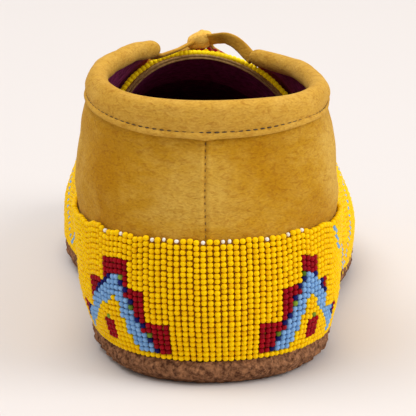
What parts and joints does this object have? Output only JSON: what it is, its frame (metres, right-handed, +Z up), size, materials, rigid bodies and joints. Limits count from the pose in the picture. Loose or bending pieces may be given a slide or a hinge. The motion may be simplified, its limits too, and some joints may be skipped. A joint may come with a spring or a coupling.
{
  "type": "beaded moccasin",
  "caption": "Ankle-high suede moccasin for the right foot, with a band of stepped bead motifs round its lower upper, a rolled collar, a beaded tongue and a tied thong.",
  "frame": {"origin": "on the floor, under the middle of the shoe's box without its lace", "axes": "+Z up, +Y from heel to toe, +X to the outer side of the right foot"},
  "size_m": [0.1032, 0.2694, 0.0919],
  "materials": {
    "sole_leather": "rough brown flesh-side leather",
    "suede": "golden suede with a short mottled nap",
    "glass_beads": "opaque glossy seed beads",
    "lining": "dark plum cloth",
    "thong": "golden suede thong"
  },
  "bodies": {
    "root": {"outsole": "sole_leather", "insole": "lining", "upper": "suede", "bead_band": "glass_beads", "collar": "suede", "tongue": "suede", "lace_run": "thong", "lace_loop": "thong", "lace_knot": "thong", "lace_end_inner": "thong", "lace_end_outer": "thong"}
  },
  "joints": []
}
